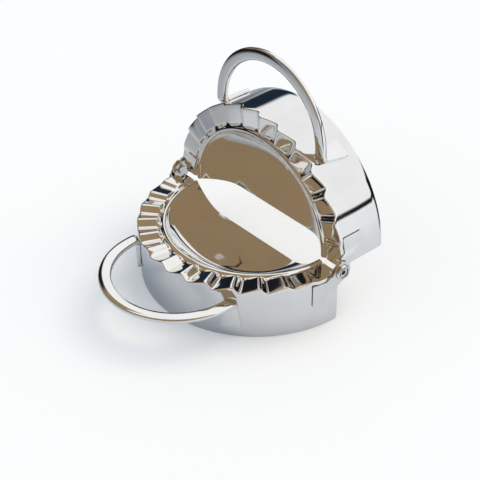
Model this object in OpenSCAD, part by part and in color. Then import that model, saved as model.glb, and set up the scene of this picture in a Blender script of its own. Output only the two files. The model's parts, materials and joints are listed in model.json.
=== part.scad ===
// Folding empanada press of stamped sheet steel.
// Two half-round halves are hinged on one straight side. Each half has a ribbed
// crimping plate with a shallow bowl, a deep cutting skirt and a looped handle.
// The rest position has the lower half flat on its skirt and the upper half upright.
// The lower half reaches towards -Y, and the hinge line lies along X.

/* [Halves] */
// Outside diameter of the skirts, which cut the dough
press_d = 120; // [100:1:180]
// Thickness of the plates and skirts
sheet_t = 0.6; // [0.4:0.1:1.2]
// Height of a skirt, from the flat of its plate to its rim
skirt_h = 29; // [22:0.5:45]
// Distance between the two plates when the press is shut
plate_gap = 2; // [1.6:0.1:4]
// Distance from the hinge line to the straight edge of each half
edge_gap = 0.5; // [0.4:0.1:1.2]
// How far the ribbed edge stands out past the skirt
edge_lip = 1; // [0.4:0.1:2]

/* [Ribs] */
// Number of ribs around each half
rib_n = 14; // [10:1:20]
// Height of a rib from valley to crest
rib_h = 3; // [1:0.1:3.4]
// Share of each rib that is the steep side
rib_steep = 0.28; // [0.22:0.01:0.5]
// Angle of the first crest from the hinge line
rib_start = 10.3; // [2:0.1:12]
// Length of the ribs, measured in from the edge of the plate
rib_l = 11; // [8:0.5:14]

/* [Bowl] */
// Width of the rounded bead between the ribs and the bowl
bead_w = 4; // [2:0.5:6]
// Height of the bead above the flat of the plate
bead_h = 0.4; // [0.1:0.1:0.7]
// Depth of the bowl
bowl_depth = 11; // [6:0.5:18]
// Width of the sloping side of the bowl
bowl_slope_w = 18; // [10:0.5:24]

/* [Handles] */
// Width of the handle bar
bar_w = 6.5; // [5:0.5:10]
// Thickness of the handle bar
bar_t = 2.5; // [1.8:0.1:4]
// How far the rounded face of the bar drops at its edges
bar_crown = 0.9; // [0.3:0.1:2]
// Inside radius of the handle's loop
loop_r = 33; // [26:0.5:38]
// Distance from the hinge line to the middle of the loop
loop_y = 53; // [52:0.5:62]
// Depth of the bar's front face below the flat of the plate
loop_drop = 6.3; // [5:0.1:8]
// Radius of the bends down to the feet, at the middle of the bar
foot_bend = 2.2; // [2.1:0.1:5]
// Length of the foot that is welded to the skirt
foot_l = 12.5; // [8:0.5:14]
// Width of the flattened end of a foot
foot_w = 11; // [8:0.5:13]
// Thickness of the flattened end of a foot
foot_t = 1.9; // [1.5:0.1:2.4]

/* [Hinge] */
// Thickness of the hinge plates
leaf_t = 1; // [0.8:0.1:1.5]
// Radius of the rounded ear around the rivet
ear_r = 5.5; // [4.8:0.1:7]
// Angle of the skirt that a hinge plate covers
leaf_angle = 15; // [13:0.5:20]
// Height of the part of a hinge plate that is welded to the skirt
leaf_h = 13; // [10:0.5:18]
// Diameter of the rivet's shank
rivet_d = 3.4; // [3:0.1:4]
// Diameter of the rivet's outer head
head_d = 8.4; // [7:0.1:9]
// Thickness of the rivet's outer head
head_t = 1.5; // [1.2:0.1:2]
// Diameter of the rolled inner end of the rivet
tail_d = 5.2; // [4.8:0.1:5.4]
// Thickness of the rolled inner end of the rivet
tail_t = 0.7; // [0.5:0.1:0.9]

/* [Clearances] */
// Radial play of the rivet in the ears
rivet_play = 0.05; // [0.02:0.01:0.1]
// Side play between parts that turn past each other
side_play = 0.3; // [0.2:0.05:0.5]

/* [Hidden] */
$fn = 96;

// Radii of the skirt and the plate, about a middle that is edge_gap from the hinge line
skirt_r = press_d / 2;
plate_r = skirt_r + edge_lip;
rib_in_r = plate_r - rib_l;
bead_in_r = rib_in_r - bead_w;

// Depths are measured from the hinge line towards the rim of each half
flat_s = plate_gap / 2;
rim_s = flat_s + skirt_h;
hinge_z = rim_s;

// The handle's reach and the upper skirt's depth set the middle of the whole press
loop_mid_r = loop_r + bar_w / 2;
handle_reach = loop_y + loop_r + bar_w;
hinge_y = (handle_reach - rim_s) / 2;

// The ears stand one beside the other, outside the skirts
upper_ear_x = skirt_r + side_play;
lower_ear_x = upper_ear_x + leaf_t + side_play;
head_x = lower_ear_x + leaf_t;
tail_x = upper_ear_x - rivet_play;
bore_r = rivet_d / 2 + rivet_play;

// Angle within which the plate and the skirt step back from the rivet's inner end
notch_r = tail_d / 2 + side_play;
notch_angle = asin((notch_r + side_play) / skirt_r);
notch_depth = tail_t + 2 * side_play + edge_lip;

// Ribs fade out towards the hinge, over these angles
fade_from = 4;
fade_over = 36;
fade_least = 0.15;
rib_pitch = 180 / rib_n;
// Width of the flat on each crest and in each valley, as a share of a rib
rib_flat = 0.1;
// Points along one rib, as shares of its pitch from the crest down to the next crest
ramp_end = 1 - rib_steep - rib_flat;
rib_steps = [0, ramp_end / 3, ramp_end * 2 / 3, ramp_end, ramp_end + rib_flat, 1 - rib_flat];

// Height of the ribs at an angle: 1 on a crest, -1 in a valley
function wave(share) =
    share <= ramp_end ? 1 - 2 * share / ramp_end
    : share <= ramp_end + rib_flat ? -1
    : share <= 1 - rib_flat ? -1 + 2 * (share - ramp_end - rib_flat) / (rib_steep - rib_flat)
    : 1;
function fade(angle) =
    max(fade_least, min(1, (min(angle, 180 - angle) - fade_from) / fade_over));
function share_at(angle) =
    let (turns = (rib_start - angle) / rib_pitch)
    turns - floor(turns);
function rib_at(angle) = rib_h / 2 * fade(angle) * wave(share_at(angle));

// Every angle at which the plate has a row of points, from one end to the other
function crest_angle(i) = rib_start + (i - 1) * rib_pitch;
notch_step = 0.2;
row_gap = 0.3;
end_angles = [
    0, notch_angle, notch_angle + notch_step,
    180 - notch_angle - notch_step, 180 - notch_angle, 180
];
rib_angles = [
    for (i = [0:rib_n + 2])
        for (step = rib_steps)
            let (angle = crest_angle(i) - step * rib_pitch)
            if (angle > 0 && angle < 180 && min([for (v = end_angles) abs(angle - v)]) > row_gap)
                angle
];
function sorted(list) =
    len(list) < 2 ? list
    : let (pivot = list[floor(len(list) / 2)])
    concat(
        sorted([for (v = list) if (v < pivot) v]),
        [for (v = list) if (v == pivot) v],
        sorted([for (v = list) if (v > pivot) v])
    );
plate_angles = sorted(concat(end_angles, rib_angles));

// The groove beside the ribs: its width, its depth and its share of the ribs' height
groove_w = 0.8;
groove_s = 0.5;
groove_rib = 0.3;
// Across the bead, as shares of its width and of its height
bead_curve = [[0.75, 0.5], [0.45, 1], [0.15, 0]];
// Down the side of the bowl, as shares of its width and of its depth
bowl_curve = [[0, 0.08], [0.22, 0.38], [0.46, 0.68], [0.72, 0.9], [1, 1]];

// Profile of the plate as [radius, depth, how much of the rib's height applies]
function plate_profile(outer_r) = concat(
    [
        [outer_r, flat_s, 1],
        [rib_in_r + 2 * groove_w, flat_s, 1],
        [rib_in_r, flat_s + groove_s, groove_rib]
    ],
    [for (p = bead_curve) [bead_in_r + bead_w * p[0], flat_s - bead_h * p[1], 0]],
    [for (p = bowl_curve) [bead_in_r - bowl_slope_w * p[0], flat_s + bowl_depth * p[1], 0]]
);
profile_n = len(plate_profile(plate_r));
rib_point_n = profile_n - len(bead_curve) - len(bowl_curve);

// Thickness along the depth that gives the sheet its thickness on a slope
function slope_t(profile, j) =
    let (
        a = profile[max(j - 1, 0)],
        b = profile[min(j + 1, profile_n - 1)],
        slope = (b[1] - a[1]) / (b[0] - a[0])
    )
    j < rib_point_n ? sheet_t : sheet_t * sqrt(1 + slope * slope);

// Near the hinge the edge of the plate steps back, clear of the ears and the rivet
ear_angle = asin((ear_r + 2 * side_play) / skirt_r) + notch_step;
function edge_r(angle) =
    let (from_end = min(angle, 180 - angle))
    from_end <= notch_angle ? skirt_r - notch_depth
    : from_end < ear_angle ? skirt_r - side_play
    : plate_r;

// Faces of a closed tube of rings, each with side_n points, and of its two ends
function tube_faces(ring_n, side_n) = concat(
    [
        for (i = [0:ring_n - 2])
            for (j = [0:side_n - 1])
                let (k = (j + 1) % side_n)
                for (face = [
                    [i * side_n + j, i * side_n + k, (i + 1) * side_n + k],
                    [i * side_n + j, (i + 1) * side_n + k, (i + 1) * side_n + j]
                ]) face
    ],
    [
        [for (j = [side_n - 1:-1:0]) j],
        [for (j = [0:side_n - 1]) (ring_n - 1) * side_n + j]
    ]
);

// rib_side is 1 where the crests rise towards the mating plate, and -1 for its mate
function plate_rows(rib_side) = [
    for (angle = plate_angles)
        let (profile = plate_profile(edge_r(angle)), rise = rib_side * rib_at(angle))
        concat(
            [for (j = [0:profile_n - 1])
                let (p = profile[j])
                [p[0] * cos(angle), -edge_gap - p[0] * sin(angle), -p[1] + rise * p[2]]],
            [for (j = [profile_n - 1:-1:0])
                let (p = profile[j])
                [p[0] * cos(angle), -edge_gap - p[0] * sin(angle),
                    -p[1] + rise * p[2] - slope_t(profile, j)]]
        )
];

module crimp_plate(rib_side) {
    rows = plate_rows(rib_side);
    row_n = len(rows);
    ring_n = 2 * profile_n;
    points = concat(
        [for (row = rows) for (p = row) p],
        [[0, -edge_gap, -flat_s - bowl_depth], [0, -edge_gap, -flat_s - bowl_depth - sheet_t]]
    );
    front = row_n * ring_n;
    back = front + 1;
    // Faces between neighbouring rows, without the strip that meets the middle
    sides = [
        for (i = [0:row_n - 2])
            for (j = [0:ring_n - 1])
                let (k = (j + 1) % ring_n)
                if (j != profile_n - 1)
                    for (face = [
                        [i * ring_n + j, i * ring_n + k, (i + 1) * ring_n + k],
                        [i * ring_n + j, (i + 1) * ring_n + k, (i + 1) * ring_n + j]
                    ]) face
    ];
    // The floor of the bowl is a fan about the middle, on both sides of the sheet
    floors = [
        for (i = [0:row_n - 2])
            for (face = [
                [i * ring_n + profile_n - 1, front, (i + 1) * ring_n + profile_n - 1],
                [i * ring_n + profile_n, (i + 1) * ring_n + profile_n, back]
            ]) face
    ];
    // The cut edges are strips of four-sided faces between the two sides of the sheet
    last = (row_n - 1) * ring_n;
    ends = [
        for (j = [0:profile_n - 1])
            let (
                k = j + 1,
                back_j = ring_n - 1 - j,
                edge = j < profile_n - 1 ? [k, back_j - 1] : [front, back]
            )
            for (face = [
                [edge[0], j, back_j, edge[1]],
                [j + last, edge[0] < front ? edge[0] + last : front,
                    edge[1] < front ? edge[1] + last : back, back_j + last]
            ]) face
    ];
    polyhedron(points, concat(sides, floors, ends), convexity = 8);
}

// Height of the skirt's top, under the plate or under the notch beside the hinge
function top_s(angle, rib_side) =
    min(angle, 180 - angle) <= notch_angle ? -notch_r - side_play - sheet_t
    : -flat_s + rib_side * rib_at(angle) - sheet_t;

// The wall has a row of four corners at each angle of the plate, which it meets along its top
function wall_point(radius, angle, height) =
    [radius * cos(angle), -edge_gap - radius * sin(angle), height];
function skirt_row(angle, rib_side) =
    let (top = top_s(angle, rib_side))
    [
        wall_point(skirt_r, angle, top),
        wall_point(skirt_r - sheet_t, angle, top),
        wall_point(skirt_r - sheet_t, angle, -rim_s),
        wall_point(skirt_r, angle, -rim_s)
    ];

module skirt(rib_side) {
    points = [for (angle = plate_angles) for (p = skirt_row(angle, rib_side)) p];
    polyhedron(points, tube_faces(len(plate_angles), len(skirt_row(0, rib_side))), convexity = 6);
}

// Cross-section of the handle bar: flat behind, rounded in front
bar_edge = 0.4;
full_crown = min(bar_crown, bar_t - 2 * bar_edge);
// Half of the rounded face, as shares of half the width and of the crown's drop
crown_curve = [[0.93, 0.64], [0.78, 0.37], [0.5, 0.13]];
function bar_section(crown) =
    let (w = bar_w / 2, t = bar_t / 2, shoulder = t - crown - bar_edge / 2)
    concat(
        [[-w + bar_edge, -t], [w - bar_edge, -t], [w, -t + bar_edge], [w, shoulder]],
        [for (p = crown_curve) [w * p[0], t - crown * p[1]]],
        [[0, t]],
        [for (i = [len(crown_curve) - 1:-1:0]) [-w * crown_curve[i][0], t - crown * crown_curve[i][1]]],
        [[-w, shoulder], [-w, -t + bar_edge]]
    );

// The feet lie flat on the skirt, so they turn to face its middle
foot_angle = acos(loop_mid_r / (skirt_r + bar_t / 2));
foot_r = edge_gap + (skirt_r + bar_t / 2) * sin(foot_angle);
foot_turn = 90 - foot_angle;
bar_s = flat_s + loop_drop + bar_t / 2;
bend_steps = 8;
loop_steps = 40;

// Each station of the bar is [middle, direction of its width, direction of its front, crown]
function loop_station(angle) = [
    [loop_mid_r * cos(angle), -loop_y - loop_mid_r * sin(angle), -bar_s],
    [cos(angle), -sin(angle), 0],
    [0, 0, 1],
    full_crown
];
function bend_station(side, share) =
    let (
        bend = 90 * share,
        turn = foot_turn * share,
        wide = [side * cos(turn), sin(turn), 0],
        along = [0, cos(bend), -sin(bend)],
        normal = side * cross(wide, along),
        front = normal / norm(normal)
    )
    [
        [side * loop_mid_r, -foot_r - foot_bend * (1 - sin(bend)), -bar_s - foot_bend * (1 - cos(bend))],
        wide,
        front,
        full_crown * (1 - share)
    ];
// The foot is hammered wider and thinner towards its end, and its back stays on the skirt
function foot_station(side, share) =
    let (
        top = bend_station(side, 1),
        wider = 1 + (foot_w / bar_w - 1) * share,
        thinner = 1 - (1 - foot_t / bar_t) * share
    )
    [
        top[0] - [0, 0, foot_l * share] - top[2] * bar_t * (1 - thinner) / 2,
        top[1] * wider,
        top[2] * thinner,
        0
    ];
bar_stations = concat(
    [foot_station(1, 1), foot_station(1, 0)],
    [for (i = [bend_steps - 1:-1:0]) bend_station(1, i / bend_steps)],
    [for (i = [0:loop_steps]) loop_station(180 * i / loop_steps)],
    [for (i = [0:bend_steps]) bend_station(-1, i / bend_steps)],
    [foot_station(-1, 1)]
);

module handle() {
    points = [
        for (s = bar_stations)
            for (p = bar_section(s[3])) s[0] + p[0] * s[1] + p[1] * s[2]
    ];
    polyhedron(points, tube_faces(len(bar_stations), len(bar_section(0))), convexity = 6);
}

// The hinge plate on the +X side: a curved leaf on the skirt, and a flat ear that steps out
leaf_top_s = flat_s + rib_h / 2 + sheet_t + side_play;
leaf_end_s = leaf_top_s + leaf_h;
step_from = ear_r + 2 * side_play;
step_to = step_from + 3 * leaf_t;
neck_s = leaf_top_s + 5 * leaf_t;
// The neck stays on its own side of the hinge where the ears step in, so they can close
neck_reach = step_to + leaf_t;
neck_lean = ear_r / sqrt(step_from * step_from - ear_r * ear_r);
neck_top_s = (neck_reach - step_from) * neck_lean + side_play;

module hinge_plate(ear_x) {
    difference() {
        union() {
            leaf();
            intersection() {
                ear_outline();
                ear_bend(ear_x);
            }
        }
        rotate([0, 90, 0])
            cylinder(h = 2 * skirt_r, r = bore_r);
    }
}

module leaf() {
    start = asin((step_from + leaf_t) / skirt_r);
    translate([0, -edge_gap, 0])
        rotate([0, 0, -leaf_angle])
            rotate_extrude(angle = leaf_angle - start)
                translate([skirt_r, -leaf_end_s])
                    square([leaf_t, leaf_h]);
}

// Seen from the side: the round ear and its neck down to the leaf
module ear_outline() {
    reach = skirt_r / 2;
    translate([skirt_r - reach / 2, 0, 0])
        rotate([90, 0, 90])
            linear_extrude(height = reach)
                hull() {
                    circle(r = ear_r);
                    translate([-neck_reach, -neck_top_s - leaf_t])
                        square([leaf_t, leaf_t]);
                    translate([-step_from, -neck_s])
                        square([leaf_t, leaf_t]);
                }
}

// Seen from above: the sheet leaves the skirt's curve and steps out to the ear's plane
module ear_bend(ear_x) {
    leaf_x = function (y) sqrt(skirt_r * skirt_r - (y - edge_gap) * (y - edge_gap));
    translate([0, 0, -leaf_end_s])
        linear_extrude(height = leaf_end_s + 2 * ear_r)
            polygon([
                [ear_x, ear_r],
                [ear_x, -step_from],
                [leaf_x(step_to), -step_to],
                [leaf_x(neck_reach), -neck_reach],
                [leaf_x(neck_reach) + leaf_t, -neck_reach],
                [leaf_x(step_to) + leaf_t, -step_to],
                [ear_x + leaf_t, -step_from],
                [ear_x + leaf_t, ear_r]
            ]);
}

// A tubular rivet: dished head outside, plain shank, rolled end inside
module rivet() {
    dish_r = head_d / 3;
    dish_t = head_t / 2;
    head_side = head_t / 2;
    head_bevel = head_t / 3;
    hole_r = rivet_d / 4;
    hole_t = head_t + 2 * leaf_t;
    rotate([0, 90, 0])
        rotate_extrude()
            polygon([
                [0, tail_x - tail_t],
                [tail_d / 2, tail_x - tail_t],
                [tail_d / 2, tail_x],
                [rivet_d / 2, tail_x],
                [rivet_d / 2, head_x],
                [head_d / 2, head_x],
                [head_d / 2, head_x + head_side],
                [head_d / 2 - head_bevel, head_x + head_t],
                [dish_r, head_x + head_t],
                [dish_r - dish_t, head_x + head_t - dish_t],
                [hole_r, head_x + head_t - dish_t],
                [hole_r, head_x + head_t - hole_t],
                [0, head_x + head_t - hole_t]
            ]);
}

// The halves: the lower lies flat, and the upper is its mirror image turned upright
module at_hinge() {
    translate([0, hinge_y, hinge_z])
        children();
}

module upright() {
    at_hinge()
        rotate([-90, 0, 0])
            mirror([0, 0, 1])
                children();
}

module left_side() {
    mirror([1, 0, 0])
        children();
}

module lower_crimp_plate() {
    color("silver")
        at_hinge()
            crimp_plate(-1);
}

module lower_skirt() {
    color("lightgray")
        at_hinge()
            skirt(-1);
}

module lower_handle() {
    color("gainsboro")
        at_hinge()
            handle();
}

module lower_hinge_plate_left() {
    color("darkgray")
        at_hinge()
            left_side()
                hinge_plate(lower_ear_x);
}

module lower_hinge_plate_right() {
    color("darkgray")
        at_hinge()
            hinge_plate(lower_ear_x);
}

module upper_crimp_plate() {
    color("silver")
        upright()
            crimp_plate(1);
}

module upper_skirt() {
    color("lightgray")
        upright()
            skirt(1);
}

module upper_handle() {
    color("gainsboro")
        upright()
            handle();
}

module upper_hinge_plate_left() {
    color("gray")
        upright()
            left_side()
                hinge_plate(upper_ear_x);
}

module upper_hinge_plate_right() {
    color("gray")
        upright()
            hinge_plate(upper_ear_x);
}

module rivet_left() {
    color("dimgray")
        at_hinge()
            left_side()
                rivet();
}

module rivet_right() {
    color("dimgray")
        at_hinge()
            rivet();
}

lower_crimp_plate();
lower_skirt();
lower_handle();
lower_hinge_plate_left();
lower_hinge_plate_right();
upper_crimp_plate();
upper_skirt();
upper_handle();
upper_hinge_plate_left();
upper_hinge_plate_right();
rivet_left();
rivet_right();
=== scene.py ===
"""Folding empanada press in polished stainless steel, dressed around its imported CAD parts."""

import json
import math
from collections import namedtuple

import bmesh
import bpy
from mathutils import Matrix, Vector


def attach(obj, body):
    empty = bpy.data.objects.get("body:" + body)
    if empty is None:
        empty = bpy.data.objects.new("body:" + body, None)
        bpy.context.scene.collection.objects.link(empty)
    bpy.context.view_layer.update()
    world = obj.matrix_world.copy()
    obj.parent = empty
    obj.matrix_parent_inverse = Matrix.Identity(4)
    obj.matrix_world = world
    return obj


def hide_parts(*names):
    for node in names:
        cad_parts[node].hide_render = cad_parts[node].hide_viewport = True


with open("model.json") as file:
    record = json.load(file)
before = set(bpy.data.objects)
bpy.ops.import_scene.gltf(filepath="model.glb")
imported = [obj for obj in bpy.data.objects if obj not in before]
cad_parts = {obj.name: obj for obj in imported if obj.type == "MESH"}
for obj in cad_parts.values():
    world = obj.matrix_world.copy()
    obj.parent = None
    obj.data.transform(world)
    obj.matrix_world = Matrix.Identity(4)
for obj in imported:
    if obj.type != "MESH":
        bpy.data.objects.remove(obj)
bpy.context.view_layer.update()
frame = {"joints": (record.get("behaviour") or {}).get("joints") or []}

MM = 0.001
SAME_PLACE_M = 1e-7
CORNER_ANGLE = 50
fold = frame["joints"][0]

# Sizes are in millimetres and angles in degrees. A depth runs from the hinge line to a half's rim.

# Both halves
HINGE_Y = fold["pos_m"][1] / MM
HINGE_Z = fold["pos_m"][2] / MM
SKIRT_R = 60.0
PLATE_R = SKIRT_R + 1.0
SHEET_T = 0.6
FLAT_S = 1.0
RIM_S = 30.0
EDGE_GAP = 0.5
SIDE_PLAY = 0.3

# Ribs: a sharp wave, averaged over a few near samples, that fades out towards the hinge. How much
# of it is steep or flat, and the step between the samples, are shares of one rib.
RIB_N = 14
RIB_H = 3.0
RIB_STEEP = 0.28
RIB_FLAT = 0.1
RIB_START = 10.3
RAMP_END = 1 - RIB_STEEP - RIB_FLAT
SAMPLE_STEP = 0.012
SAMPLES_ASIDE = 3
ANGLES_PER_RIB = 20
FADE_FROM = 4
FADE_OVER = 36
FADE_LEAST = 0.15

# The plate's edge steps back beside the ears, and once more beside the rivets
EAR_ANGLE = 6.0
EAR_TURN = 1.2
NOTCH_ANGLE = 3.06
NOTCH_TURN = 0.6
NOTCH_DEPTH = 2.3
NOTCH_TOP_S = 3.8

# Front of the plate: step out from a radius, depth below the flat, share of the ribs' height. Where
# the edge steps back, the outer part of the ribs is pulled in with it.
LIP = [(0, 1.7, 1), (0, 0.9, 1), (-0.05, 0.1, 1), (-0.9, 0, 1)]
RIB_IN_R = 50.0
PULL_FROM_R = RIB_IN_R + 2
PULL_OVER = 6
RIBS = [
    (8, 0, 1), (5, 0, 1), (2, 0, 1), (1.2, 0, 1), (0.8, 0.05, 0.97), (0.5, 0.2, 0.75), (0.15, 0.42, 0.35),
]
BEAD_IN_R = 46.0
BEAD = [
    (3.4, 0.5, 0.15), (2.8, 0.25, 0), (2.2, -0.3, 0), (1.4, -0.5, 0), (0.6, -0.35, 0), (0.1, 0.3, 0),
]

# Down the side of the bowl, as shares of its width and of its depth, and then along its floor
BOWL_DEPTH = 11.0
BOWL_SLOPE_W = 18.0
BOWL_CURVE = [
    (0.02, 0.1), (0.1, 0.22), (0.22, 0.4), (0.34, 0.56), (0.46, 0.69), (0.59, 0.81), (0.72, 0.9),
    (0.86, 0.965), (1, 0.99),
]
BOWL_FLOOR_RADII = (24, 16, 8, 0)

# The skirt's rim is ground round on its outer side: how much is cut away, at a height above the rim
GROUND_RIM = [
    (0.015, 2.6), (0.05, 2.1), (0.1, 1.6), (0.17, 1.15), (0.25, 0.75), (0.34, 0.4), (0.43, 0.15), (0.5, 0),
]
GROUND_H = 3.2

# Handles
BAR_W = 6.5
BAR_T = 2.5
BAR_S = 8.55
BAR_EDGE_R = 1.05
BAR_CROWN = 0.3
BAR_BACK_EDGE = 0.3
BAR_BACK_BULGE = 0.09
LOOP_MID_R = 36.25
LOOP_Y = 53.0
FOOT_BEND = 2.2
FOOT_L = 12.5
FOOT_W = 11.0
FOOT_T = 1.9
FOOT_EDGE_R = 0.35
BAR_END_SHRINK = 0.94
BAR_END_L = 0.3
BAR_CORNER_ANGLES = range(0, 73, 12)

# Hinge plates: a round ear, a step down to the wall and a leaf on it
LEAF_T = 1.0
EAR_R = 5.5
EAR_X = {"upper": 60.3, "lower": 61.6}
EAR_ROUND_TO = 2.0
EAR_DEEP = 7.2
EAR_PULL = 0.75
STEP_FROM = EAR_R + 0.6
STEP_TO = EAR_R + 3.6
STEP_TOP = 0.3
STEP_DEEP = 9.2
STEP_TOP_PACE = 1.2
STEP_DEEP_FROM = 0.4
STEP_DEEP_OVER = 0.9
LEAF_TOP = 3.4
LEAF_DEEP = 16.4
LEAF_CORNER_R = 0.8
LEAF_END_ANGLE = 14.65
LEAF_BEVEL = 0.12
LEAF_LAST_STEP = 0.1

# A leaf's border stands off the wall, and weld marks dimple it at steps along and down the leaf
LEAF_PLAY = 0.03
BORDER_GAP = 0.45
BORDER_W = 1.3
BORDER_SOFT = 0.5
BORDER_FROM = 1.5
WELDS = [(1.9, 6.0), (1.5, 13.2)]
WELD_R = 1.0
WELD_DEEP = 0.26

# Rivets: a dished head outside the ears, and a flared end inside them
SHAFT_R = 1.7
HEAD_X = 62.6
HEAD_R = 4.2
HEAD_T = 1.5
BOSS_R = 2.1
BORE_R = 1.15
BORE_L = 1.0
TAIL_X = 59.55
# The bore and the wall around the boss, painted dark as shade in these recesses: inner and outer radius, and
# from and to along the hinge
SHADED_RINGS = [(0, BORE_R + 0.1), (BOSS_R - 0.1, BOSS_R + 0.15)]
SHADED_FROM_X = HEAD_X - BORE_L - 0.1
SHADED_TO_X = HEAD_X + 0.85


def place(half, x, reach, depth):
    """A point of a half: along the hinge, away from the hinge line, and down towards its rim."""
    if half == "lower":
        return Vector((x, HINGE_Y - reach, HINGE_Z - depth)) * MM
    return Vector((x, HINGE_Y + depth, HINGE_Z + reach)) * MM


def on_arc(half, radius, angle, depth):
    """A point of a half at an angle around the middle of its plate."""
    turn = math.radians(angle)
    return place(half, radius * math.cos(turn), EDGE_GAP + radius * math.sin(turn), depth)


def lerp(a, b, t):
    return a + (b - a) * t


def smooth(t):
    """Eases from 0 to 1, and stays there."""
    t = min(1.0, max(0.0, t))
    return t * t * (3 - 2 * t)


def chaikin(points, times):
    """Rounds the corners of an open line of points and keeps its two ends."""
    for _ in range(times):
        out = [points[0]]
        for a, b in zip(points, points[1:]):
            out.append(tuple(lerp(p, q, 0.25) for p, q in zip(a, b)))
            out.append(tuple(lerp(p, q, 0.75) for p, q in zip(a, b)))
        out.append(points[-1])
        points = out
    return points


def tube_faces(ring_n, side_n):
    """Faces between neighbouring rings of points."""
    faces = []
    for i in range(ring_n - 1):
        here = i * side_n
        there = here + side_n
        for j in range(side_n):
            k = (j + 1) % side_n
            faces.append((here + j, here + k, there + k, there + j))
    return faces


def flat_ends(ring_n, side_n):
    """One face over each end of a tube."""
    last = (ring_n - 1) * side_n
    return [tuple(range(side_n)), tuple(range(last, last + side_n))]


def strip_ends(ring_n, side_n):
    """A strip of four-sided faces over each end of a thin, wide tube."""
    faces = []
    for start in (0, (ring_n - 1) * side_n):
        for j in range(side_n // 2 - 1):
            across = side_n - 1 - j
            faces.append((start + j, start + j + 1, start + across - 1, start + across))
    return faces


def new_object(name, verts, faces, body, node, material, sharp=CORNER_ANGLE):
    """Builds a piece from points and faces, smooth except at corners sharper than an angle."""
    mesh = bpy.data.meshes.new(name)
    mesh.from_pydata([tuple(v) for v in verts], [], faces)
    bm = bmesh.new()
    bm.from_mesh(mesh)
    bmesh.ops.remove_doubles(bm, verts=bm.verts, dist=SAME_PLACE_M)
    bmesh.ops.dissolve_degenerate(bm, edges=bm.edges, dist=SAME_PLACE_M / 10)
    bmesh.ops.recalc_face_normals(bm, faces=bm.faces)
    bm.to_mesh(mesh)
    bm.free()
    mesh.shade_smooth()
    mesh.set_sharp_from_angle(angle=math.radians(sharp))
    mesh.materials.append(material)
    piece = bpy.data.objects.new(name, mesh)
    bpy.context.collection.objects.link(piece)
    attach(piece, body)
    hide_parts(node)
    return piece


def hard_wave(share):
    """Height of the ribs at a share of their pitch: 1 on a crest, -1 in a valley."""
    share = share % 1.0
    if share <= RAMP_END:
        return 1 - 2 * share / RAMP_END
    if share <= RAMP_END + RIB_FLAT:
        return -1.0
    if share <= 1 - RIB_FLAT:
        return -1 + 2 * (share - RAMP_END - RIB_FLAT) / (RIB_STEEP - RIB_FLAT)
    return 1.0


def rib_rise(half, angle):
    """How far a plate rises from its flat at an angle. The two halves mesh."""
    share = (RIB_START - angle) * RIB_N / 180
    steps = range(-SAMPLES_ASIDE, SAMPLES_ASIDE + 1)
    wave = sum(hard_wave(share + step * SAMPLE_STEP) for step in steps) / len(steps)
    from_end = min(angle, 180 - angle)
    fade = max(FADE_LEAST, min(1.0, (from_end - FADE_FROM) / FADE_OVER))
    rise = RIB_H / 2 * fade * wave
    return rise if half == "upper" else -rise


def past_notch(angle):
    return smooth((min(angle, 180 - angle) - NOTCH_ANGLE) / NOTCH_TURN)


def edge_r(angle):
    """Radius of the plate's edge, which steps back beside the hinge."""
    beside_ear = lerp(SKIRT_R - NOTCH_DEPTH, SKIRT_R - SIDE_PLAY, past_notch(angle))
    past_ear = smooth((min(angle, 180 - angle) - EAR_ANGLE) / EAR_TURN)
    return lerp(beside_ear, PLATE_R, past_ear)


def arc_angles():
    """Even steps along the arc, and more of them where the plate's edge steps back."""
    step_n = RIB_N * ANGLES_PER_RIB
    angles = [180 * i / step_n for i in range(step_n + 1)]
    turns = [NOTCH_ANGLE + NOTCH_TURN / 2, NOTCH_ANGLE + NOTCH_TURN]
    turns += [EAR_ANGLE + EAR_TURN / 4, EAR_ANGLE + EAR_TURN * 3 / 4]
    for turn in turns:
        angles += [turn, 180 - turn]
    return sorted(set(angles))


ARC_ANGLES = arc_angles()


def plate_profile():
    """Radius, depth and share of the ribs' height, from the turned edge to the middle of the bowl."""

    def steps_from(radius, rows):
        return [(radius + out, FLAT_S + deep, share) for out, deep, share in rows]

    lip = chaikin(steps_from(PLATE_R, LIP), 2)
    bead = chaikin(steps_from(BEAD_IN_R, BEAD), 1)
    slope = [(BEAD_IN_R - BOWL_SLOPE_W * w, FLAT_S + BOWL_DEPTH * d, 0) for w, d in BOWL_CURVE]
    floor = [(radius, FLAT_S + BOWL_DEPTH, 0) for radius in BOWL_FLOOR_RADII]
    return lip + steps_from(RIB_IN_R, RIBS) + bead + slope + floor


def with_normals(profile):
    """Adds the direction in which the sheet's thickness lies to each point of a profile."""
    out = []
    for i, point in enumerate(profile):
        before = profile[max(i - 1, 0)]
        after = profile[min(i + 1, len(profile) - 1)]
        inward = before[0] - after[0]
        down = after[1] - before[1]
        length = math.hypot(inward, down)
        out.append((*point, down / length, inward / length))
    return out


def plate(half, material):
    """Ribbed plate with a turned edge, a bead and a bowl: rings of points across the sheet."""
    profile = with_normals(plate_profile())
    verts = []
    for angle in ARC_ANGLES:
        rise = rib_rise(half, angle)
        step_back = PLATE_R - edge_r(angle)
        front_row = []
        back_row = []
        for radius, depth, share, normal_r, normal_s in profile:
            pull = step_back * smooth((radius - PULL_FROM_R) / PULL_OVER)
            for row, t in ((front_row, 0.0), (back_row, SHEET_T)):
                out = normal_r * t if radius > 1 else 0
                here_r = max(0.0, radius - pull + out)
                row.append(on_arc(half, here_r, angle, depth - share * rise + normal_s * t))
        verts += front_row + back_row[::-1]
    tube = (len(ARC_ANGLES), 2 * len(profile))
    faces = tube_faces(*tube) + strip_ends(*tube)
    name, node = half + "_ribbed_plate", half + "_crimp_plate"
    return new_object(name, verts, faces, half + "_half", node, material)


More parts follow.
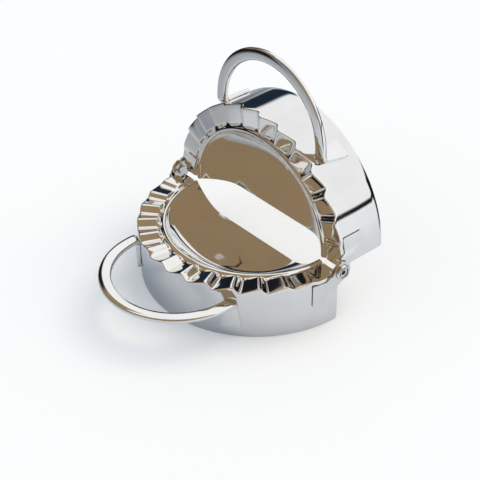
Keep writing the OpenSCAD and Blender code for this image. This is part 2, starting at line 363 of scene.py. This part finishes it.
def skirt(half, material):
    """Half-round wall that follows the ribs along its top and is ground round at its rim."""
    inner_r = SKIRT_R - SHEET_T
    wall_steps = 6
    verts = []
    for angle in ARC_ANGLES:
        top = lerp(NOTCH_TOP_S, FLAT_S + SHEET_T - rib_rise(half, angle), past_notch(angle))
        depths = [lerp(top, RIM_S - GROUND_H, i / wall_steps) for i in range(wall_steps + 1)]
        row = [(inner_r, top)]
        row += [(SKIRT_R, depth) for depth in depths]
        row += [(SKIRT_R - cut, RIM_S - height) for cut, height in GROUND_RIM]
        row += [(inner_r, RIM_S)]
        row += [(inner_r, depth) for depth in depths[:0:-1]]
        verts += [on_arc(half, radius, angle, depth) for radius, depth in row]
    tube = (len(ARC_ANGLES), len(verts) // len(ARC_ANGLES))
    faces = tube_faces(*tube) + flat_ends(*tube)
    name, node = half + "_wall", half + "_skirt"
    return new_object(name, verts, faces, half + "_half", node, material)


def bar_section(crown):
    """Flat back and nearly flat front. The front corners are well rounded, less so at the feet."""
    w = BAR_W / 2
    t = BAR_T / 2
    corner_r = lerp(FOOT_EDGE_R, BAR_EDGE_R, crown)
    corner_x = w - corner_r
    corner_y = t - BAR_CROWN * crown - corner_r
    right = [(w - BAR_BACK_EDGE, -t), (w - BAR_BACK_BULGE, BAR_BACK_BULGE - t), (w, BAR_BACK_EDGE - t)]
    for angle in BAR_CORNER_ANGLES:
        turn = math.radians(angle)
        right.append((corner_x + corner_r * math.cos(turn), corner_y + corner_r * math.sin(turn)))
    x_end, y_end = right[-1]
    right += [(x_end * share, t - (t - y_end) * share ** 2) for share in (0.75, 0.5, 0.25)]
    return right + [(0, t)] + [(-x, y) for x, y in right[::-1]]


def handle(half, material):
    """Bar bent to a loop, whose feet turn down onto the skirt and are hammered flat and wide."""
    foot_angle = math.acos(LOOP_MID_R / (SKIRT_R + BAR_T / 2))
    foot_reach = EDGE_GAP + (SKIRT_R + BAR_T / 2) * math.sin(foot_angle)
    foot_turn = math.pi / 2 - foot_angle
    loop_steps, bend_steps, foot_steps = 120, 12, 8

    def on_foot(side, bent, drop=0.0):
        """A station on the bend down to a foot, by its share, or on the foot below it, by its drop."""
        down = math.pi / 2 * bent
        turn = foot_turn * bent
        flat = drop / FOOT_L
        thin = lerp(1, FOOT_T / BAR_T, flat)
        wide = Vector((side * math.cos(turn), -math.sin(turn), 0))
        along = Vector((0, -math.cos(down), math.sin(down)))
        front = wide.cross(along).normalized() * side
        if front.z > 0 or (bent == 1 and front.y < 0):
            front.negate()
        reach = foot_reach + FOOT_BEND * (1 - math.sin(down))
        depth = BAR_S + FOOT_BEND * (1 - math.cos(down)) + drop
        middle = Vector((side * LOOP_MID_R, reach, depth)) - front * BAR_T * (1 - thin) / 2
        return middle, wide * lerp(1, FOOT_W / BAR_W, flat), front * thin, 1 - bent

    def on_loop(turn):
        wide = Vector((math.cos(turn), math.sin(turn), 0))
        return wide * LOOP_MID_R + Vector((0, LOOP_Y, BAR_S)), wide, Vector((0, 0, -1)), 1

    drops = [FOOT_L * i / foot_steps for i in range(1, foot_steps)] + [FOOT_L - BAR_END_L, FOOT_L]
    bends = [i / bend_steps for i in range(bend_steps + 1)]
    stations = [on_foot(1, 1, drop) for drop in drops[::-1]]
    stations += [on_foot(1, bent) for bent in bends[::-1]]
    stations += [on_loop(math.pi * i / loop_steps) for i in range(1, loop_steps)]
    stations += [on_foot(-1, bent) for bent in bends]
    stations += [on_foot(-1, 1, drop) for drop in drops]
    verts = []
    for i, (middle, wide, front, crown) in enumerate(stations):
        size = BAR_END_SHRINK if i in (0, len(stations) - 1) else 1.0
        for x, y in bar_section(crown):
            verts.append(place(half, *(middle + wide * x * size + front * y * size)))
    tube = (len(stations), len(verts) // len(stations))
    faces = tube_faces(*tube) + flat_ends(*tube)
    name, node = half + "_loop", half + "_handle"
    return new_object(name, verts, faces, half + "_half", node, material)


def hinge_plate(half, side, material):
    """A sheet whose outline is drawn flat and then bent: ear, step and leaf on the skirt."""
    ear_x = EAR_X[half]
    wall_x = math.sqrt(SKIRT_R ** 2 - (STEP_TO - EDGE_GAP) ** 2)
    slant = math.hypot(STEP_TO - STEP_FROM, ear_x - wall_x)
    leaf_from = STEP_FROM + slant
    start_angle = math.asin((STEP_TO - EDGE_GAP) / SKIRT_R)
    leaf_to = leaf_from + (math.radians(LEAF_END_ANGLE) - start_angle) * SKIRT_R

    def path(u):
        """Place and outward direction at a distance along the bent sheet, seen along the skirt."""
        if u < STEP_FROM:
            return ear_x, u, 1.0, 0.0
        if u < leaf_from:
            t = (u - STEP_FROM) / slant
            outward = Vector((STEP_TO - STEP_FROM, ear_x - wall_x)).normalized()
            return lerp(ear_x, wall_x, t), lerp(STEP_FROM, STEP_TO, t), outward.x, outward.y
        turn = start_angle + (u - leaf_from) / SKIRT_R
        across, along = math.cos(turn), math.sin(turn)
        return SKIRT_R * across, EDGE_GAP + SKIRT_R * along, across, along

    def edges(u):
        """Shallow and deep edge of the flat outline at a distance along the sheet."""
        round_s = math.sqrt(EAR_R ** 2 - min(u, EAR_ROUND_TO) ** 2)
        pulled = lerp(round_s, EAR_DEEP, smooth(u / EAR_ROUND_TO) * EAR_PULL)
        if u < EAR_ROUND_TO:
            return -round_s, pulled
        if u < STEP_FROM:
            t = (u - EAR_ROUND_TO) / (STEP_FROM - EAR_ROUND_TO)
            return lerp(-round_s, STEP_TOP, t), lerp(pulled, STEP_DEEP, smooth(t))
        stepped = (u - STEP_FROM) / slant
        top = lerp(STEP_TOP, LEAF_TOP, smooth(stepped * STEP_TOP_PACE))
        deep = lerp(STEP_DEEP, LEAF_DEEP, smooth((stepped - STEP_DEEP_FROM) / STEP_DEEP_OVER))
        corner = max(0.0, u - leaf_to + LEAF_CORNER_R) / LEAF_CORNER_R
        cut = LEAF_CORNER_R * (1 - math.sqrt(max(0.0, 1 - corner ** 2)))
        return top + cut, deep - cut

    def front(u, s):
        """Height of the outer face, which is dimpled where the leaf is spot welded."""
        dent = 0.0
        for along, depth in WELDS:
            away = math.hypot(u - leaf_from - along, s - depth) / WELD_R
            dent = max(dent, WELD_DEEP * (1 - smooth(away)))
        return LEAF_T - dent

    def back(u, s, top, deep):
        """Height of the inner face: the leaf lies on the wall, but its border stands off it."""
        border = min(s - top, deep - s, leaf_to - u)
        on_leaf = smooth((u - leaf_from) / BORDER_FROM)
        on_border = 1 - smooth((border - BORDER_W) / BORDER_SOFT)
        return lerp(LEAF_PLAY, BORDER_GAP, on_leaf * on_border)

    ear_steps, length_steps, width_steps = 14, 60, 34
    distances = [-EAR_R * math.cos(math.pi / 2 * i / ear_steps) for i in range(ear_steps)]
    distances += [leaf_to * i / length_steps for i in range(length_steps)]
    distances += [leaf_to - LEAF_LAST_STEP, leaf_to]
    verts = []
    for u in distances:
        x, reach, normal_x, normal_r = path(u)
        top, deep = edges(u)
        depths = [lerp(top, deep, j / width_steps) for j in range(width_steps + 1)]
        sheet = [(s, front(u, s)) for s in depths]
        sheet += [(s, back(u, s, top, deep)) for s in depths[::-1]]
        verts += [place(half, side * (x + normal_x * t), reach + normal_r * t, s) for s, t in sheet]
    tube = (len(distances), 2 * len(depths))
    faces = tube_faces(*tube) + strip_ends(*tube)
    word = "right" if side > 0 else "left"
    name, node = f"{half}_ear_{word}", f"{half}_hinge_plate_{word}"
    piece = new_object(name, verts, faces, half + "_half", node, material, 40)
    bevel = piece.modifiers.new("edge", "BEVEL")
    bevel.width = LEAF_BEVEL * MM
    bevel.segments = 2
    bevel.limit_method = "ANGLE"
    bevel.angle_limit = math.radians(CORNER_ANGLE)
    return piece


def rivet(side, material, bore_shade_material):
    """A tubular rivet. Its bore and the wall around its boss are rough and painted dark, as painted shade in
    these recesses; the rest is polished.
    """
    tail = [
        (0, 0), (1.9, 0), (2.45, 0.1), (2.6, 0.35), (2.45, 0.6), (2.2, 0.7), (SHAFT_R, 0.7), (SHAFT_R, 1.85),
    ]
    rolled_head = [
        (3.2, 0), (3.95, 0.05), (HEAD_R, 0.35), (HEAD_R, 0.75), (4.0, 1.15), (3.65, 1.4), (3.3, HEAD_T),
    ]
    dish = [(3.05, 1.2), (2.9, 0.7), (2.7, 0.32), (BOSS_R + 0.1, 0.25), (BOSS_R, 0.35)]
    boss = [(BOSS_R - 0.05, 0.9), (BOSS_R - 0.25, 1.05), (BORE_R + 0.2, 0.95), (BORE_R, 0.6)]
    bore = [(BORE_R, -BORE_L), (0, -BORE_L)]
    profile = [(radius, TAIL_X + out) for radius, out in tail] + [(SHAFT_R, HEAD_X)]
    profile += chaikin([(radius, HEAD_X + out) for radius, out in rolled_head + dish + boss + bore], 2)
    turn_n = 72
    verts = []
    for i in range(turn_n):
        turn = 2 * math.pi * i / turn_n
        for radius, x in profile:
            y, z = HINGE_Y + radius * math.cos(turn), HINGE_Z + radius * math.sin(turn)
            verts.append(Vector((side * x, y, z)) * MM)
    faces = []
    for i in range(turn_n):
        here = i * len(profile)
        there = (i + 1) % turn_n * len(profile)
        faces += [(here + j, here + j + 1, there + j + 1, there + j) for j in range(len(profile) - 1)]
    word = "right" if side > 0 else "left"
    name, node = "pin_" + word, "rivet_" + word
    piece = new_object(name, verts, faces, "lower_half", node, material, 60)
    piece.data.materials.append(bore_shade_material)
    # Faces in the bore and round the boss take the painted shade
    for face in piece.data.polygons:
        x, y, z = face.center / MM
        away = math.hypot(y - HINGE_Y, z - HINGE_Z)
        in_ring = any(inner < away < outer for inner, outer in SHADED_RINGS)
        if in_ring and SHADED_FROM_X < abs(x) < SHADED_TO_X:
            face.material_index = 1
    return piece


# Helpers for shader nodes


def feed(tree, socket, value):
    """Links an input to another node's output, or sets it to a value."""
    if isinstance(value, bpy.types.NodeSocket):
        tree.links.new(value, socket)
    else:
        socket.default_value = value


def maths(tree, operation, *values):
    node = tree.nodes.new("ShaderNodeMath")
    node.operation = operation
    for socket, value in zip(node.inputs, values):
        feed(tree, socket, value)
    return node.outputs[0]


def map_range(tree, value, low, high, to_low=0.0, to_high=1.0, interpolation="LINEAR"):
    node = tree.nodes.new("ShaderNodeMapRange")
    node.interpolation_type = interpolation
    limits = (("From Min", low), ("From Max", high), ("To Min", to_low), ("To Max", to_high))
    for name, limit in limits:
        node.inputs[name].default_value = limit
    feed(tree, node.inputs["Value"], value)
    return node.outputs["Result"]


def colour_ramp(tree, value, stops):
    """Blends between two or more colours, each at a place from 0 to 1."""
    node = tree.nodes.new("ShaderNodeValToRGB")
    elements = node.color_ramp.elements
    elements[0].position = stops[0][0]
    elements[1].position = stops[-1][0]
    for at, _ in stops[1:-1]:
        elements.new(at)
    for element, (_, colour) in zip(elements, stops):
        element.color = (*colour, 1)
    feed(tree, node.inputs["Fac"], value)
    return node.outputs["Color"]


def noise(tree, vector, scale, detail):
    node = tree.nodes.new("ShaderNodeTexNoise")
    node.inputs["Scale"].default_value = scale
    node.inputs["Detail"].default_value = detail
    feed(tree, node.inputs["Vector"], vector)
    return node.outputs["Fac"]


def bump(tree, height, strength, distance):
    node = tree.nodes.new("ShaderNodeBump")
    node.inputs["Strength"].default_value = strength
    node.inputs["Distance"].default_value = distance
    feed(tree, node.inputs["Height"], height)
    return node


def mix_colour(tree, factor, under, over):
    node = tree.nodes.new("ShaderNodeMix")
    node.data_type = "RGBA"
    for name, value in (("Factor", factor), ("A", under), ("B", over)):
        feed(tree, node.inputs[name], value)
    return node.outputs["Result"]


def mix_shader(tree, factor, first, second):
    node = tree.nodes.new("ShaderNodeMixShader")
    for socket, value in zip(node.inputs, (factor, first, second)):
        feed(tree, socket, value)
    return node.outputs["Shader"]


def split(tree, vector):
    node = tree.nodes.new("ShaderNodeSeparateXYZ")
    feed(tree, node.inputs["Vector"], vector)
    return node.outputs


# Steel

SMUDGE_SCALE, SMUDGE_DETAIL = 60, 4
GRAIN_SCALE, GRAIN_DETAIL, GRAIN_DEEP = 900, 3, 0.02
WAVE_SCALE, WAVE_DETAIL = 45, 1
NOISE_LOW, NOISE_HIGH = 0.3, 0.7
SMUDGE_TINT = 0.94
ROUGH_LEAST, ROUGH_MOST = 0.8, 1.25


def steel(name, tint, rough, grain, wave, stretch=(1, 1, 1)):
    """Polished stainless steel: smudges, a fine grain, and a long wave in the sheet, in millimetres."""
    material = bpy.data.materials.new(name)
    material.use_nodes = True
    tree = material.node_tree
    shader = tree.nodes["Principled BSDF"]
    shader.inputs["Metallic"].default_value = 1.0
    coords = tree.nodes.new("ShaderNodeTexCoord").outputs["Object"]
    smudge = noise(tree, coords, SMUDGE_SCALE, SMUDGE_DETAIL)
    darker = tuple(channel * SMUDGE_TINT for channel in tint)
    colour = colour_ramp(tree, smudge, [(NOISE_LOW, darker), (NOISE_HIGH, tint)])
    feed(tree, shader.inputs["Base Color"], colour)
    roughness = map_range(tree, smudge, NOISE_LOW, NOISE_HIGH, rough * ROUGH_LEAST, rough * ROUGH_MOST)
    feed(tree, shader.inputs["Roughness"], roughness)
    mapping = tree.nodes.new("ShaderNodeMapping")
    mapping.inputs["Scale"].default_value = stretch
    feed(tree, mapping.inputs["Vector"], coords)
    lines = noise(tree, mapping.outputs["Vector"], GRAIN_SCALE, GRAIN_DETAIL)
    ripple = bump(tree, noise(tree, coords, WAVE_SCALE, WAVE_DETAIL), 1, wave * MM)
    surface = bump(tree, lines, grain, GRAIN_DEEP * MM)
    feed(tree, surface.inputs["Normal"], ripple.outputs["Normal"])
    feed(tree, shader.inputs["Normal"], surface.outputs["Normal"])
    return material


plate_steel = steel("plate_polish", (0.88, 0.87, 0.85), rough=0.055, grain=0.12, wave=0.015)
wall_steel = steel(
    "wall_polish", (0.83, 0.83, 0.835), rough=0.05, grain=0.12, wave=0.12, stretch=(1, 1, 0.15)
)
bar_steel = steel("bar_polish", (0.88, 0.88, 0.88), rough=0.05, grain=0.12, wave=0.03)
ear_steel = steel("ear_polish", (0.80, 0.80, 0.805), rough=0.12, grain=0.15, wave=0.05)
pin_steel = steel("pin_polish", (0.78, 0.78, 0.78), rough=0.12, grain=0.15, wave=0.05)
# Rough steel with a near black base colour: painted shade for the rivet's bore and the wall round its boss
bore_shade_steel = steel("bore_painted_shade", (0.08, 0.08, 0.085), rough=0.45, grain=0.3, wave=0.05)

for half in ("lower", "upper"):
    plate(half, plate_steel)
    skirt(half, wall_steel)
    handle(half, bar_steel)
    for side in (-1, 1):
        hinge_plate(half, side, ear_steel)
for side in (-1, 1):
    rivet(side, pin_steel, bore_shade_steel)


# The camera stands where the photograph's did, worked out from the outlines of both halves

CAMERA_AZIMUTH, CAMERA_ELEVATION = math.radians(48.185), math.radians(34.884)
CAMERA_DISTANCE_M = 0.8
IMAGE_PX = 480
FOCAL_PX = 1559.348
CENTRE_X_PX, CENTRE_Y_PX = 256.948, 217.32
SENSOR_W = 36


def add_camera():
    level = math.cos(CAMERA_ELEVATION)
    forward = Vector((
        -math.sin(CAMERA_AZIMUTH) * level,
        math.cos(CAMERA_AZIMUTH) * level,
        -math.sin(CAMERA_ELEVATION),
    ))
    lens = bpy.data.cameras.new("camera")
    lens.sensor_width = SENSOR_W
    lens.lens = FOCAL_PX / IMAGE_PX * SENSOR_W
    lens.shift_x = (IMAGE_PX / 2 - CENTRE_X_PX) / IMAGE_PX
    lens.shift_y = (CENTRE_Y_PX - IMAGE_PX / 2) / IMAGE_PX
    lens.clip_start = 0.01
    lens.clip_end = 50
    camera = bpy.data.objects.new("camera", lens)
    camera.location = Vector((0, HINGE_Y, HINGE_Z)) * MM - forward * CAMERA_DISTANCE_M
    camera.rotation_euler = forward.to_track_quat("-Z", "Y").to_euler()
    bpy.context.collection.objects.link(camera)
    bpy.context.scene.camera = camera


# Studio, as polished steel reflects it. An area spans directions around the object, and heights in
# degrees or distances in metres. Directions run from +X to +Y, and the camera stands at -42 degrees.

Area = namedtuple("Area", "middle half_width low high soft low_high_soft colour")

WHITE = (1, 1, 1)
BROWN = (0.335, 0.24, 0.14)
BLACK = (0.006, 0.007, 0.010)
BLUE_BLACK = (0.006, 0.008, 0.012)
DARK = (0.01, 0.012, 0.015)
DARK_BLUE = (0.013, 0.025, 0.04)

SURROUND = [
    # Brown from behind, round the left, to the front right, and overhead
    Area(-96.5, 106.5, -5, 58, 2, 2, BROWN),
    Area(-70, 80, 55, 95, 3, 3, BROWN),
    # Black low on the left, and lower still behind it
    Area(-127, 26, -5, 16, 3, 2, BLACK),
    Area(-175, 40, -5, 8, 3, 3, BLACK),
    # An upright strip behind on the left, and a blue one straight behind
    Area(170, 13, -5, 40, 2, 3, DARK),
    Area(146, 13, 2, 22, 1.5, 2.5, DARK_BLUE),
    # A thin line behind on the right, and a patch on the right
    Area(78, 62, 2.0, 6.0, 1, 1, BLUE_BLACK),
    Area(62, 14, -5, 17, 2, 2, BLUE_BLACK),
]

# The floor's far ends, on the left, in front and behind on the right, are painted dark in reflections:
# painted dark reflections
PAINTED_FLOOR_DARK_ENDS = [
    Area(-172, 43, 0.31, 20, 4, 0.1, DARK),
    Area(-42, 20, 0.18, 20, 4, 0.02, DARK),
    Area(78, 25, 0.17, 20, 3, 0.03, DARK),
]

# Painted shade: tones of the floor in reflections, along a line from the left to the right
FLOOR_LINE = (0.94, 0.34, 0)
FLOOR_LINE_HALF_M = 0.5
PAINTED_FLOOR_SHADE = [
    (0.1, (0.29, 0.31, 0.34)),
    (0.36, (0.42, 0.435, 0.46)),
    (0.43, (0.64, 0.66, 0.69)),
    (0.5, (0.67, 0.69, 0.72)),
    (0.8, (0.92, 0.92, 0.92)),
]
FLOOR_PALE = (0.95, 0.95, 0.95)
FLOOR_GLOW_SHARE = 0.2
FLOOR_HALF_M = 6
FLOOR_Z_M = -5e-5

# The white of the camera's view and of reflections is 1. The fill light is a little bluer and darker.
FILL_COLOUR, FILL_STRENGTH = (0.78, 0.88, 1.0), 0.8
SUN_COLOUR, SUN_STRENGTH, SUN_ANGLE = (1.0, 0.86, 0.64), 1.45, math.radians(50)
SUN_DIRECTION = (-0.25, -0.6, -1.0)


def between(tree, value, low, high, soft):
    """1 where a value lies between two others, with soft ends."""
    rising = map_range(tree, value, low - soft, low + soft, interpolation="SMOOTHSTEP")
    falling = map_range(tree, value, high + soft, high - soft, interpolation="SMOOTHSTEP")
    return maths(tree, "MULTIPLY", rising, falling)


def lay_areas(tree, colour, x, y, height, areas):
    """Lays areas over a colour, by the direction (x, y) and by a height or distance."""
    for area in areas:
        cos, sin = math.cos(math.radians(area.middle)), math.sin(math.radians(area.middle))
        ahead = maths(tree, "ADD", maths(tree, "MULTIPLY", x, cos), maths(tree, "MULTIPLY", y, sin))
        aside = maths(tree, "SUBTRACT", maths(tree, "MULTIPLY", y, cos), maths(tree, "MULTIPLY", x, sin))
        angle = maths(tree, "ARCTAN2", aside, ahead)
        wide = math.radians(area.half_width)
        in_width = between(tree, angle, -wide, wide, math.radians(area.soft))
        in_height = between(tree, height, area.low, area.high, area.low_high_soft)
        inside = maths(tree, "MULTIPLY", in_width, in_height)
        colour = mix_colour(tree, inside, colour, (*area.colour, 1))
    return colour


def painted_floor_shade_in_reflections(tree):
    """Painted shade of the floor in reflections: it falls off from the right to the left, and its far ends
    are painted dark reflections.
    """
    coords = tree.nodes.new("ShaderNodeTexCoord").outputs["Object"]
    along = tree.nodes.new("ShaderNodeVectorMath")
    along.operation = "DOT_PRODUCT"
    along.inputs[1].default_value = FLOOR_LINE
    feed(tree, along.inputs[0], coords)
    far = tree.nodes.new("ShaderNodeVectorMath")
    far.operation = "LENGTH"
    feed(tree, far.inputs[0], coords)
    share = map_range(tree, along.outputs["Value"], -FLOOR_LINE_HALF_M, FLOOR_LINE_HALF_M)
    tone = colour_ramp(tree, share, PAINTED_FLOOR_SHADE)
    x, y, _ = split(tree, coords)
    return lay_areas(tree, tone, x, y, far.outputs["Value"], PAINTED_FLOOR_DARK_ENDS)


def floor_material():
    """Plain and pale: near white to the camera, darker in reflections by painted shade, with its shadow
    kept.
    """
    material = bpy.data.materials.new("floor_pale")
    material.use_nodes = True
    tree = material.node_tree
    shader = tree.nodes["Principled BSDF"]
    shader.inputs["Roughness"].default_value = 0.8
    shader.inputs["Specular IOR Level"].default_value = 0.0
    path = tree.nodes.new("ShaderNodeLightPath").outputs
    # In reflections the floor's colour carries the painted shade and the painted dark reflections
    tone = mix_colour(tree, path["Is Glossy Ray"], (*FLOOR_PALE, 1), painted_floor_shade_in_reflections(tree))
    feed(tree, shader.inputs["Base Color"], tone)
    glow = tree.nodes.new("ShaderNodeEmission")
    glow.inputs["Color"].default_value = (*WHITE, 1)
    glow_share = maths(tree, "MULTIPLY", path["Is Camera Ray"], FLOOR_GLOW_SHARE)
    surface = mix_shader(tree, glow_share, shader.outputs["BSDF"], glow.outputs["Emission"])
    feed(tree, tree.nodes["Material Output"].inputs["Surface"], surface)
    return material


def add_floor():
    signs = [(-1, -1), (1, -1), (1, 1), (-1, 1)]
    corners = [(x * FLOOR_HALF_M, y * FLOOR_HALF_M, FLOOR_Z_M) for x, y in signs]
    mesh = bpy.data.meshes.new("floor")
    mesh.from_pydata(corners, [], [(0, 1, 2, 3)])
    mesh.materials.append(floor_material())
    floor = bpy.data.objects.new("floor", mesh)
    bpy.context.collection.objects.link(floor)


def add_softbox():
    """One wide, warm lamp, which isn't itself reflected."""
    lamp = bpy.data.lights.new("softbox", "SUN")
    lamp.angle = SUN_ANGLE
    lamp.energy = SUN_STRENGTH
    lamp.color = SUN_COLOUR
    softbox = bpy.data.objects.new("softbox", lamp)
    softbox.rotation_euler = Vector(SUN_DIRECTION).to_track_quat("-Z", "Y").to_euler()
    softbox.visible_glossy = False
    bpy.context.collection.objects.link(softbox)


def background(tree, colour, strength=1.0):
    node = tree.nodes.new("ShaderNodeBackground")
    node.inputs["Strength"].default_value = strength
    feed(tree, node.inputs["Color"], colour)
    return node.outputs["Background"]


def set_world():
    """White to the camera, the studio in reflections, and a bluish fill light everywhere else."""
    world = bpy.data.worlds.new("studio")
    world.use_nodes = True
    tree = world.node_tree
    tree.nodes.clear()
    x, y, z = split(tree, tree.nodes.new("ShaderNodeTexCoord").outputs["Generated"])
    height = maths(tree, "MULTIPLY", maths(tree, "ARCSINE", z), 180 / math.pi)
    studio = background(tree, lay_areas(tree, (*WHITE, 1), x, y, height, SURROUND))
    fill = background(tree, (*FILL_COLOUR, 1), FILL_STRENGTH)
    path = tree.nodes.new("ShaderNodeLightPath").outputs
    unseen = mix_shader(tree, path["Is Glossy Ray"], fill, studio)
    surface = mix_shader(tree, path["Is Camera Ray"], unseen, background(tree, (*WHITE, 1)))
    feed(tree, tree.nodes.new("ShaderNodeOutputWorld").inputs["Surface"], surface)
    bpy.context.scene.world = world


add_camera()
add_floor()
add_softbox()
set_world()
bpy.context.scene.view_settings.view_transform = "Standard"
